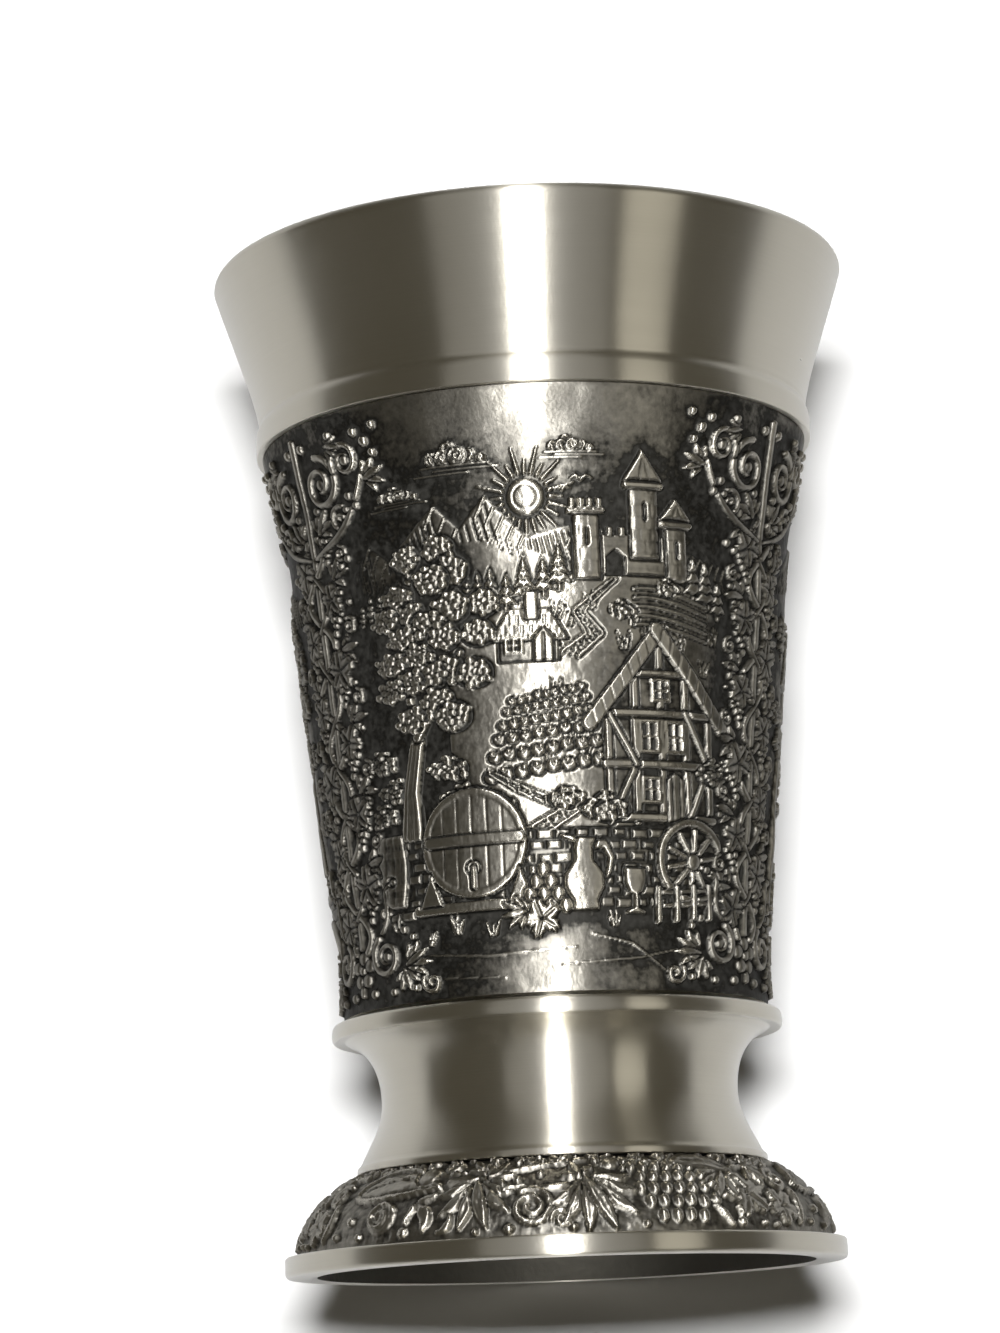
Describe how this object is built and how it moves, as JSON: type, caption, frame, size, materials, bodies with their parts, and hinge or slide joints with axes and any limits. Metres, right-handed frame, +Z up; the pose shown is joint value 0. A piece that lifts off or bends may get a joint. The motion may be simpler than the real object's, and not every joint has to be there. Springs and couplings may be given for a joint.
{
  "type": "pewter shot cup",
  "caption": "Small footed drinking cup of pewter: flared turned lip, tapered bowl with raised relief, waisted neck and a round hollow foot that it stands on.",
  "frame": {"origin": "centre of the ring that the cup stands on", "axes": "+Z up along the cup's axis, from the foot to the rim; -Y through the middle of the front picture panel"},
  "size_m": [0.042, 0.042, 0.066],
  "materials": {
    "turned_pewter": "pewter turned on a lathe and left satin, with fine lines round the axis",
    "antiqued_pewter": "cast pewter, blackened in the ground and rubbed bright on the raised work",
    "solder": "smooth bright tin solder"
  },
  "bodies": {
    "root": {"foot_skirt": "antiqued_pewter", "foot_neck": "turned_pewter", "skirt_solder_fillet": "solder", "relief_body": "antiqued_pewter", "bowl_floor": "turned_pewter", "floor_solder_fillet": "solder", "bowl_solder_fillet": "solder", "lip_collar": "turned_pewter"}
  },
  "joints": []
}
